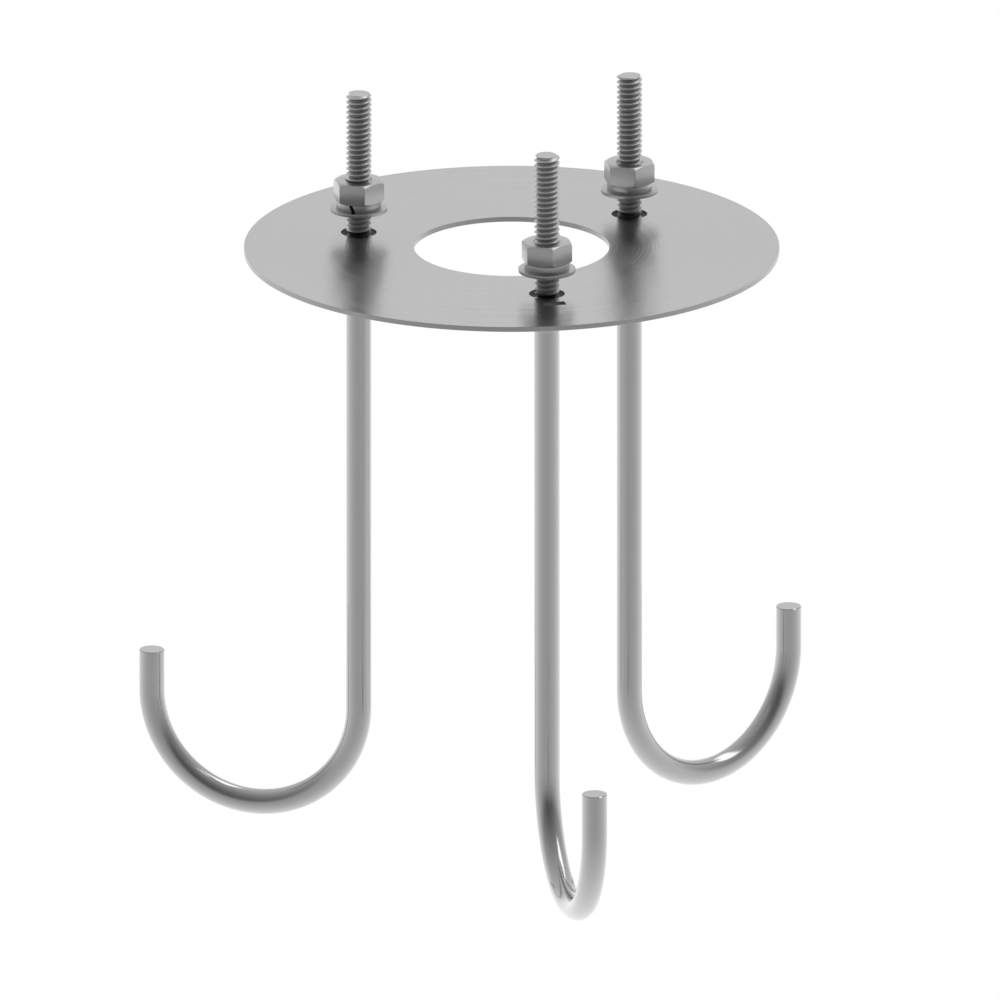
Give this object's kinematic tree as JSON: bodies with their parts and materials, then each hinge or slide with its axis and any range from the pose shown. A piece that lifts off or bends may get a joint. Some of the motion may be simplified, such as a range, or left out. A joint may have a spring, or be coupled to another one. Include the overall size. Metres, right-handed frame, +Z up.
{
  "type": "foundation anchor set",
  "caption": "Thin ring plate with a cable hole carrying hook-ended anchor bolts, each with hex nuts, a flat washer and a split spring washer.",
  "frame": {"origin": "centre of the cable hole in the plate's top face", "axes": "+Z up along the studs, -Y from the plate's centre towards the bolt with the index slot"},
  "size_m": [0.266, 0.2578, 0.3],
  "materials": {
    "plate_steel": "fine brushed sheet",
    "rod_steel": "drawn rod, satin",
    "fastener_steel": "satin, bright machined faces"
  },
  "bodies": {
    "plate": {"ring_plate": "plate_steel"},
    "hook_front": {"hook_bolt_front": "rod_steel", "lower_nut_front": "fastener_steel"},
    "washers_front": {"flat_washer_front": "fastener_steel", "spring_washer_front": "fastener_steel"},
    "nut_front": {"upper_nut_front": "fastener_steel"},
    "hook_right": {"hook_bolt_right": "rod_steel", "lower_nut_right": "fastener_steel"},
    "washers_right": {"flat_washer_right": "fastener_steel", "spring_washer_right": "fastener_steel"},
    "nut_right": {"upper_nut_right": "fastener_steel"},
    "hook_left": {"hook_bolt_left": "rod_steel", "lower_nut_left": "fastener_steel"},
    "washers_left": {"flat_washer_left": "fastener_steel", "spring_washer_left": "fastener_steel"},
    "nut_left": {"upper_nut_left": "fastener_steel"}
  },
  "joints": [
    {"name": "hook_swivel_front", "type": "hinge", "parent": "plate", "child": "hook_front", "pos_m": [0, -0.0628, 0], "axis": [0, 0, 1], "range_deg": [-90, 90]},
    {"name": "washer_travel_front", "type": "slide", "parent": "hook_front", "child": "washers_front", "axis": [0, 0, 1], "range_m": [-0.009, 0.035]},
    {"name": "nut_turn_front", "type": "hinge", "parent": "washers_front", "child": "nut_front", "pos_m": [0, -0.0628, 0], "axis": [0, 0, 1], "range_deg": [-1544.9, 6002]},
    {"name": "hook_swivel_right", "type": "hinge", "parent": "plate", "child": "hook_right", "pos_m": [0.05439, 0.0314, 0], "axis": [0, 0, 1], "range_deg": [-90, 90]},
    {"name": "washer_travel_right", "type": "slide", "parent": "hook_right", "child": "washers_right", "axis": [0, 0, 1], "range_m": [-0.009, 0.035]},
    {"name": "nut_turn_right", "type": "hinge", "parent": "washers_right", "child": "nut_right", "pos_m": [0.05439, 0.0314, 0], "axis": [0, 0, 1], "range_deg": [-1544.9, 6002]},
    {"name": "hook_swivel_left", "type": "hinge", "parent": "plate", "child": "hook_left", "pos_m": [-0.05439, 0.0314, 0], "axis": [0, 0, 1], "range_deg": [-90, 90]},
    {"name": "washer_travel_left", "type": "slide", "parent": "hook_left", "child": "washers_left", "axis": [0, 0, 1], "range_m": [-0.009, 0.035]},
    {"name": "nut_turn_left", "type": "hinge", "parent": "washers_left", "child": "nut_left", "pos_m": [-0.05439, 0.0314, 0], "axis": [0, 0, 1], "range_deg": [-1544.9, 6002]}
  ],
  "couplings": [
    {"joint": "nut_turn_front", "follows": "washer_travel_front", "rad_per_m": 2992},
    {"joint": "nut_turn_right", "follows": "washer_travel_right", "rad_per_m": 2992},
    {"joint": "nut_turn_left", "follows": "washer_travel_left", "rad_per_m": 2992}
  ]
}
